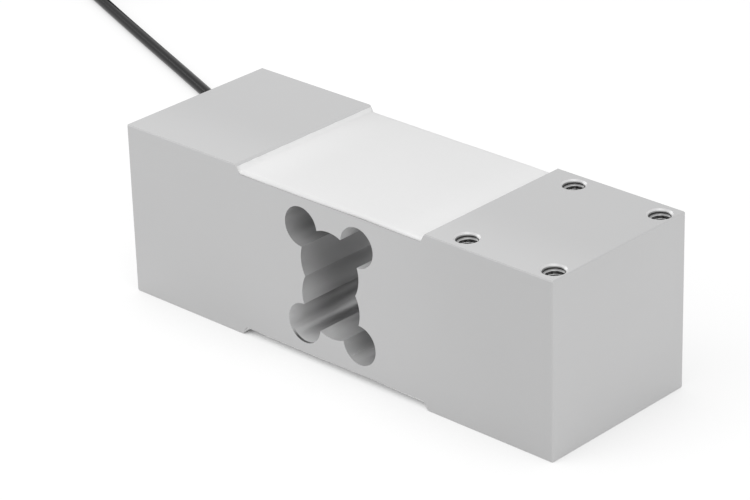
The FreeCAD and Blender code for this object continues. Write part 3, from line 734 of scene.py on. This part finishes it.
class LOADCELL_OT_threads(bpy.types.Operator):
    """Cut the threads of the tapped holes at both ends"""

    bl_idname = "loadcell.threads"
    bl_label = "Cut the threads"

    def execute(self, context):
        sizes = context.scene.loadcell_block
        material = thread_material(sizes)
        for mount_name, face_z, inward in (("load_threads", block_high.z, -1),
                                           ("base_threads", block_low.z, 1)):
            shells = [self.shell(x, y, face_z, inward, sizes)
                      for x, y in self.hole_places(mounts[mount_name])]
            points, quads, grooves = zip(*shells)
            quads = [faces + k * len(points[0]) for k, faces in enumerate(quads)]
            piece = closed_piece(mount_name.replace("threads", "thread_ridges"),
                                 np.concatenate(points), np.concatenate(quads), (), material,
                                 groove=np.concatenate(grooves))
        return {"FINISHED"}

    def hole_places(self, mount):
        """Centres of a mount's four holes."""
        middle_x, middle_y, _ = mount["pos_m"]
        half_x, half_y = (MM * mount["dims"]["spacing_" + axis + "_mm"] / 2 for axis in "xy")
        return [(middle_x + i * half_x, middle_y + j * half_y)
                for i in (-1, 1) for j in (-1, 1)]

    def shell(self, x, y, face_z, inward, sizes):
        """Points, faces and groove depths of one thread, a ring shaped shell closed on itself.

        Rows run down the ridged wall and back up the plain wall behind it. At depth h and
        angle a the wall stands at the root radius less the ridge height times a trapezoid
        wave of h / pitch - a / turn. The first ridge is low and soon grows to full height, and
        the countersink's cone cuts it back.
        """
        sink_depth = sizes.sink_radius - sizes.shell_radius
        row_count = round((sizes.thread_depth - sink_depth) / sizes.thread_pitch
                          * sizes.thread_rows)
        depth = np.linspace(sink_depth, sizes.thread_depth, row_count)[:, None]
        turn = np.arange(sizes.thread_columns)[None, :] / sizes.thread_columns
        along = depth / sizes.thread_pitch - turn + sizes.thread_start
        from_crest = np.abs(along % 1.0 - 0.5) * 2
        crest_flat, root_flat = 0.25, 0.875
        ridge = np.clip((root_flat - from_crest) / (root_flat - crest_flat), 0.0, 1.0)
        grown = smooth_step((np.floor(along) + turn - 1) / sizes.lead_in)
        ridge = ridge * np.maximum(grown, sizes.first_ridge)
        wall = sizes.root_radius - sizes.ridge_height * ridge
        wall = np.maximum(wall, sizes.sink_radius - depth)
        back = np.full((2, sizes.thread_columns), sizes.shell_radius)
        radius = np.concatenate([wall, back])
        groove = np.concatenate([1 - ridge, np.ones_like(back)]).ravel()
        depth = np.concatenate([depth, depth[[-1, 0]]]) + np.zeros_like(radius)
        angle = 2 * math.pi * turn + np.zeros_like(radius)
        points = np.stack([x + radius * np.cos(angle), y + radius * np.sin(angle),
                           face_z + inward * depth], axis=-1)
        quads = grid_quads(*radius.shape, close_rows=True, close_columns=True)
        return points.reshape(-1, 3), quads, groove


class LOADCELL_OT_cover_layers(bpy.types.Operator):
    """Lay the white sealant in the two recesses"""

    bl_idname = "loadcell.cover_layers"
    bl_label = "Lay the cover layers"

    def execute(self, context):
        sizes = context.scene.loadcell_cover
        material = cover_material(sizes)
        for name, upside_down in (("top", False), ("bottom", True)):
            points, quads, caps, thin = self.layer(sizes)
            if upside_down:
                points[..., 2] = block_high.z - points[..., 2]
            piece = closed_piece(name + "_cover_layer", points, quads, caps, material, thin=thin)
            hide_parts(name + "_sealant")
        return {"FINISHED"}

    def layer(self, sizes, stations=241, arc_points=9, top_points=49):
        """Points, faces, end caps and thinness with painted light and shade of a layer: a rounded
        profile carried along X.

        The profile goes along the underside, up a quarter ellipse, back over the top and down
        a quarter ellipse. The underside keeps just off the floor and runs up the end walls.
        The top is floor plus thickness plus a softened ramp, m k ln(1 + e^(d/k)), where m is
        its slope, k its softness and d the distance past its foot, placed so that the top
        meets the wall at the rim. Waves across the part make that meeting uneven.

        The look of thinness, with painted light and shade, is a flat share, less where the layer
        pools and towards both ends, which is painted light, but more at the fixed end's rear, which
        is painted shade, plus the greater of two others of painted shade: one grows to the rear
        side, and one is the square root of one less the front edge's rise.
        """
        end = cover_high.x
        x = end * np.sin(np.linspace(-math.pi / 2, math.pi / 2, stations))[:, None]
        rim_rise = cover_high.z - cover_low.z
        wall_slope = math.tan(sizes.wall_angle)
        up_wall = np.maximum(0, wall_slope * (np.abs(x) - end) + rim_rise)
        low = cover_low.z + np.maximum(up_wall, sizes.floor_gap)
        softness = sizes.pool_size
        pool_rise = (rim_rise - sizes.thickness) / (sizes.pool_slope * softness)
        foot = end - softness * math.log(math.exp(pool_rise) - 1)
        past_foot = np.logaddexp(0, (np.abs(x) - foot) / softness)
        high = cover_low.z + sizes.thickness + sizes.pool_slope * softness * past_foot

        half_width = (block_high.y - block_low.y) / 2
        long_wave, short_wave, short_share = 5.7 * MM, 2.3 * MM, 0.6
        wave = np.sin(x / long_wave + 0.7) + short_share * np.sin(x / short_wave + 2.0)
        wave = sizes.edge_wave * np.maximum(0, wave)
        drawn_back = sizes.retreat * np.exp(-((x - sizes.retreat_x) / sizes.retreat_spread) ** 2)
        front = half_width - sizes.inset - wave - drawn_back
        rear = half_width - sizes.inset - wave[::-1]
        along = (x + end) / (2 * end)
        front_edge = sizes.wide_edge + (sizes.narrow_edge - sizes.wide_edge) * along
        rear_edge = np.full_like(x, sizes.narrow_edge)

        arc = np.linspace(0, math.pi / 2, arc_points)[1:]
        across = np.linspace(1, -1, top_points)[1:-1]
        side = np.concatenate([[-1, 1], np.ones_like(arc), across, -np.ones_like(arc)])
        out = np.concatenate([[1, 1], np.cos(arc), np.zeros_like(across), np.cos(arc[::-1])])
        rise = np.concatenate([[0, 0], np.sin(arc), np.ones_like(across), np.sin(arc[::-1])])

        reach = np.where(side < 0, front, rear)
        edge = np.where(side < 0, front_edge, rear_edge)
        y = side * (reach - edge + out * edge)
        swells = (np.sin(x / (8.3 * MM)) * np.cos(y / (7.1 * MM))
                  + np.sin(y / (4.7 * MM) + x / (13 * MM)))
        uneven = np.sin(y / (1.1 * MM)) * np.sin(y / (2.9 * MM) + 1.0)
        near_rim = smooth_step(up_wall / rim_rise)
        lift = sizes.swell * swells * (1 - side ** 6) * (1 - near_rim)
        lift = lift + sizes.rim_wave * uneven * near_rim
        z = low + np.maximum(high - low + lift, sizes.floor_gap) * rise
        points = np.stack([x + np.zeros_like(y), y, z], axis=-1)

        # Painted shade towards the rear side and at the front edge's foot
        rearward = (y / half_width + 1) / 2
        rear_fade, rear_turn = 0.6, 1.5
        rear_shade_look = sizes.rear_shade * rearward * (1 - rear_fade * along)
        edge_shade_look = sizes.edge_thin_shade * np.sqrt(1 - rise) * (side < 0)
        # Painted light where the layer pools and near both ends
        pooled = (high - cover_low.z - sizes.thickness) / (rim_rise - sizes.thickness)
        fixed = sizes.fixed_end_light * smooth_step(1 - (end + x) / sizes.end_light_reach)
        loaded = sizes.loaded_end_light * smooth_step(1 - (end - x) / sizes.end_light_reach)
        end_light_factor = 1 - fixed * (1 - rear_turn * rearward ** 3) - loaded
        flat_look = sizes.flat_thinness * (1 - smooth_step(2 * pooled)) * end_light_factor
        thin = flat_look + (1 - sizes.flat_thinness) * np.maximum(rear_shade_look, edge_shade_look)

        quads = grid_quads(*y.shape, close_columns=True)
        first_cap = np.arange(y.shape[1])
        caps = [first_cap[::-1], first_cap + (stations - 1) * y.shape[1]]
        return points.reshape(-1, 3), quads, caps, thin.ravel()


class LOADCELL_OT_cable(bpy.types.Operator):
    """Lay the jacketed cable along its route and into its coil"""

    bl_idname = "loadcell.cable"
    bl_label = "Lay the cable"

    def execute(self, context):
        sizes = context.scene.loadcell_cable
        points = np.concatenate([np.array(CABLE_ROUTE, float), self.coil_points(sizes)])
        curve = bpy.data.curves.new("cable_jacket", "CURVE")
        curve.dimensions = "3D"
        curve.bevel_depth = sizes.diameter / 2
        curve.bevel_resolution = 7
        curve.use_fill_caps = True
        spline = curve.splines.new("NURBS")
        spline.points.add(len(points) - 1)
        weighted = np.column_stack([points, np.ones(len(points))])
        spline.points.foreach_set("co", weighted.ravel())
        spline.order_u = 3
        spline.use_endpoint_u = True
        spline.resolution_u = 6
        curve.materials.append(jacket_material(sizes))
        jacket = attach(new_object("cable_jacket", curve), BODY)
        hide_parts("cable_run", "cable_coil")
        names = ["cable_bush", "coil_band", "end_sleeve", "flying_lead_tips", "drain_wire"]
        names += ["flying_lead_" + core for core in CORE_COLOURS]
        return {"FINISHED"}

    def coil_points(self, sizes):
        """Curve points of the wound cable, clockwise from where the route meets the coil.

        A turn keeps its lane and layer, then moves to the next one in a short window. The
        windows come earlier in each higher layer, so that turns which cross stay apart. The
        radius is divided by how far such a curve stays inside its control points.
        """
        lanes = (np.arange(sizes.coil_lanes) - (sizes.coil_lanes - 1) / 2) * sizes.diameter
        inward = sizes.coil_radius + lanes[::-1]
        lane_radius = np.concatenate([inward[::1 if layer % 2 == 0 else -1]
                                      for layer in range(sizes.coil_layers)])
        layer = np.repeat(np.arange(sizes.coil_layers), sizes.coil_lanes)
        lane_height = sizes.coil_floor + (layer + 0.5) * sizes.diameter
        window = 0.18
        rises = np.append(np.diff(layer) > 0, False)
        window_start = 1 - window - 2 * window * layer - window * rises

        turn = np.arange(1, math.floor(sizes.coil_turns * sizes.turn_points) + 1)
        turn = np.append(turn / sizes.turn_points, sizes.coil_turns)
        now = np.floor(turn).astype(int)
        after = np.minimum(now + 1, len(lane_radius) - 1)
        moved = smooth_step((turn - now - window_start[now]) / window)
        radius, height = (lane[now] + (lane[after] - lane[now]) * moved
                          for lane in (lane_radius, lane_height))
        stays_inside = (3 + math.cos(2 * math.pi / sizes.turn_points)) / 4
        radius[:-1] /= stays_inside

        last, before = (np.array(CABLE_ROUTE[k][:2]) for k in (-1, -2))
        heading = (last - before) / np.linalg.norm(last - before)
        to_centre = np.array([heading[1], -heading[0]])
        centre = last + to_centre * inward[0]
        angle = math.atan2(-to_centre[1], -to_centre[0]) - 2 * math.pi * turn
        return np.column_stack([centre[0] + radius * np.cos(angle),
                                centre[1] + radius * np.sin(angle), height])


class LOADCELL_OT_cable_ends(bpy.types.Operator):
    """Finish the bush, the coil's band and the cable's free end"""

    bl_idname = "loadcell.cable_ends"
    bl_label = "Finish the cable's ends"

    def execute(self, context):
        sizes = context.scene.loadcell_cable
        dress(grained_material("moulded_rubber", sizes.rubber, roughness=0.62, size=0.5 * MM,
                               shade=0.15, depth=0.02 * MM), "cable_bush")
        dress(grained_material("shrunk_sleeve", sizes.rubber, roughness=0.4, size=0.8 * MM,
                               shade=0.1, depth=0.02 * MM), "end_sleeve")
        dress(woven_material("woven_band", sizes.band, 0.7, 0.0, band_counts), "coil_band")
        dress(grained_material("tinned_strands", sizes.bare_metal, roughness=0.3,
                               size=0.15 * MM, shade=0.2, depth=0.03 * MM, metallic=1.0),
              "flying_lead_tips", "drain_wire")
        dress(woven_material("braid", sizes.bare_metal, 0.35, 1.0, braid_counts),
              "cable_shield")
        dress(grained_material("entry_resin", sizes.resin, roughness=0.25, size=2 * MM,
                               shade=0.15, depth=0.04 * MM, coat=0.4), "entry_potting")
        for core, rgb in CORE_COLOURS.items():
            dress(grained_material("wire_" + core, rgb, roughness=0.4, size=0.4 * MM,
                                   shade=0.05, depth=0.006 * MM),
                  "core_" + core, "flying_lead_" + core)
        return {"FINISHED"}


class LOADCELL_OT_gauges(bpy.types.Operator):
    """Finish the strain gauges and their leads"""

    bl_idname = "loadcell.gauges"
    bl_label = "Finish the gauges"

    def execute(self, context):
        sizes = context.scene.loadcell_wiring
        places = [level + "_gauge_{}_" + end for level in ("top", "bottom")
                  for end in ("fixed_end", "load_end")]
        dress(grained_material("carrier_film", sizes.film, roughness=0.3, size=0.8 * MM,
                               shade=0.1, coat=0.2),
              *[place.format("film") for place in places])
        dress(grained_material("etched_foil", sizes.foil, roughness=0.3, size=0.1 * MM,
                               metallic=1.0, depth=0.004 * MM, stretch=(0.1, 1.0, 1.0)),
              *[place.format("grid") for place in places])
        lead_metal = context.scene.loadcell_cable.bare_metal
        dress(grained_material("lead_wire", lead_metal, roughness=0.3, size=0.1 * MM,
                               metallic=1.0, depth=0.004 * MM),
              "top_gauge_leads", "bottom_gauge_leads")
        return {"FINISHED"}


class LOADCELL_OT_boards(bpy.types.Operator):
    """Finish the wiring boards and what is soldered to them"""

    bl_idname = "loadcell.boards"
    bl_label = "Finish the boards"

    def execute(self, context):
        sizes = context.scene.loadcell_wiring
        dress(board_material(sizes), "bridge_board", "terminal_board")
        dress(grained_material("plated_pad", sizes.pad, roughness=0.3, size=0.2 * MM,
                               metallic=1.0, depth=0.004 * MM),
              "bridge_board_pads", "terminal_board_pads")
        dress(grained_material("solder", sizes.solder, roughness=0.28, size=0.3 * MM,
                               shade=0.1, metallic=1.0, depth=0.02 * MM),
              "top_solder_joints", "bottom_solder_joints")
        dress(ribbon_material(sizes), "board_ribbon")
        dress(chip_material("zero_chip", sizes, 0.0), "zero_resistor")
        _, chips_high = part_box("span_resistors")
        chip_half_length = 1.6 * MM
        dress(chip_material("span_chip", sizes, chips_high.y - chip_half_length),
              "span_resistors")
        return {"FINISHED"}


class LOADCELL_OT_studio(bpy.types.Operator):
    """Set up the camera, the pale floor and the soft lights"""

    bl_idname = "loadcell.studio"
    bl_label = "Set up the studio"

    def execute(self, context):
        sizes = context.scene.loadcell_studio
        context.scene.view_settings.view_transform = "Standard"
        self.camera(context, sizes)
        self.floor(sizes)
        self.sky(context, sizes)
        for name in LAMPS:
            self.lamp(name, getattr(sizes, name + "_size"), getattr(sizes, name + "_power"))
        return {"FINISHED"}

    def camera(self, context, sizes):
        """Camera at the viewing place, with the usual sensor 36 mm wide."""
        data = bpy.data.cameras.new("camera")
        data.sensor_fit = "HORIZONTAL"
        data.lens = sizes.camera_lens
        data.clip_start, data.clip_end = 0.01, 20.0
        camera = new_object("camera", data)
        camera.location = sizes.camera_place
        camera.rotation_euler = sizes.camera_turn
        context.scene.camera = camera

    def seen(self, tree, to_camera, in_mirror):
        """One value for what the camera sees, one for what is mirrored or behind glass, or 0."""
        path = add_node(tree, "ShaderNodeLightPath").outputs
        mirrored = maths("MAXIMUM", path["Is Glossy Ray"], path["Is Transmission Ray"])
        return maths("MAXIMUM", maths("MULTIPLY", path["Is Camera Ray"], to_camera),
                     maths("MULTIPLY", mirrored, in_mirror))

    def floor(self, sizes):
        """Square floor just under the part, white to the eye and open from below."""
        half = sizes.floor_size / 2
        corners = [(x, y, block_low.z - sizes.floor_drop)
                   for x, y in ((-half, -half), (half, -half), (half, half), (-half, half))]
        mesh = bpy.data.meshes.new("floor")
        mesh.from_pydata(corners, [], [(0, 1, 2, 3)])
        new_object("floor", mesh)

        material = bpy.data.materials.new("floor")
        material.use_nodes = True
        tree = material.node_tree
        tree.nodes.remove(tree.nodes["Principled BSDF"])
        dull = add_node(tree, "ShaderNodeBsdfDiffuse", {"Color": opaque(sizes.floor_colour)})
        openness = add_node(tree, "ShaderNodeAmbientOcclusion", {"Distance": sizes.shade_reach},
                            samples=6).outputs["AO"]
        glow = maths("MULTIPLY", curve_through(openness, FLOOR_SHADE), sizes.floor_glow)
        white = add_node(tree, "ShaderNodeEmission", {"Color": opaque(sizes.backdrop),
                                                      "Strength": glow})
        white_share = self.seen(tree, sizes.floor_white, sizes.mirrored_white)
        top = add_node(tree, "ShaderNodeMixShader",
                       {0: white_share, 1: dull.outputs[0], 2: white.outputs[0]})
        open_side = add_node(tree, "ShaderNodeBsdfTransparent")
        behind = add_node(tree, "ShaderNodeNewGeometry").outputs["Backfacing"]
        both = add_node(tree, "ShaderNodeMixShader",
                        {0: behind, 1: top.outputs[0], 2: open_side.outputs[0]})
        tree.links.new(both.outputs[0], tree.nodes["Material Output"].inputs["Surface"])
        mesh.materials.append(material)

    def sky(self, context, sizes):
        """White all round to the eye, softer on dull surfaces."""
        world = bpy.data.worlds.new("sky")
        world.use_nodes = True
        context.scene.world = world
        tree = world.node_tree
        strength = maths("MAXIMUM", self.seen(tree, 1.0, 1.0), sizes.sky_light)
        set_inputs(tree.nodes["Background"], {"Color": opaque(sizes.backdrop),
                                              "Strength": strength})

    def lamp(self, name, size, power):
        """Square lamp that faces the part."""
        _, place, _, _, mirrored = LAMPS[name]
        data = bpy.data.lights.new(name + "_lamp", "AREA")
        data.size = size
        data.energy = power
        lamp = new_object(name + "_lamp", data)
        lamp.location = place
        to_lamp = lamp.location - (block_low + block_high) / 2
        lamp.rotation_euler = to_lamp.to_track_quat("Z", "Y").to_euler()
        lamp.visible_glossy = mirrored


# Panel

SETTINGS = {
    "loadcell_block": LOADCELL_PG_block,
    "loadcell_cover": LOADCELL_PG_cover,
    "loadcell_cable": LOADCELL_PG_cable,
    "loadcell_wiring": LOADCELL_PG_wiring,
    "loadcell_studio": LOADCELL_PG_studio,
}
OPERATORS = [
    LOADCELL_OT_studio,
    LOADCELL_OT_cable,
    LOADCELL_OT_cable_ends,
    LOADCELL_OT_block,
    LOADCELL_OT_threads,
    LOADCELL_OT_cover_layers,
    LOADCELL_OT_gauges,
    LOADCELL_OT_boards,
]


class LOADCELL_PT_panel(bpy.types.Panel):
    """Lists the build steps and their sizes in the sidebar"""

    bl_idname = "LOADCELL_PT_panel"
    bl_label = "Load Cell"
    bl_category = "Load Cell"
    bl_space_type = "VIEW_3D"
    bl_region_type = "UI"

    def draw(self, context):
        for operator in OPERATORS:
            self.layout.operator(operator.bl_idname)
        for settings_name, group in SETTINGS.items():
            box = self.layout.box()
            box.label(text=group.__doc__)
            settings = getattr(context.scene, settings_name)
            for property_name in group.__annotations__:
                box.prop(settings, property_name)


def register():
    """Register the settings, the operators and the panel."""
    for name, group in SETTINGS.items():
        bpy.utils.register_class(group)
        setattr(bpy.types.Scene, name, PointerProperty(type=group))
    for item in [*OPERATORS, LOADCELL_PT_panel]:
        bpy.utils.register_class(item)


def unregister():
    """Remove what register added, in the opposite order."""
    for item in reversed([*OPERATORS, LOADCELL_PT_panel]):
        bpy.utils.unregister_class(item)
    for name, group in reversed(SETTINGS.items()):
        delattr(bpy.types.Scene, name)
        bpy.utils.unregister_class(group)


def main():
    """Build every piece."""
    register()
    for operator in OPERATORS:
        step = operator.bl_idname.split(".")[1]
        getattr(bpy.ops.loadcell, step)()


if __name__ == "__main__":
    main()
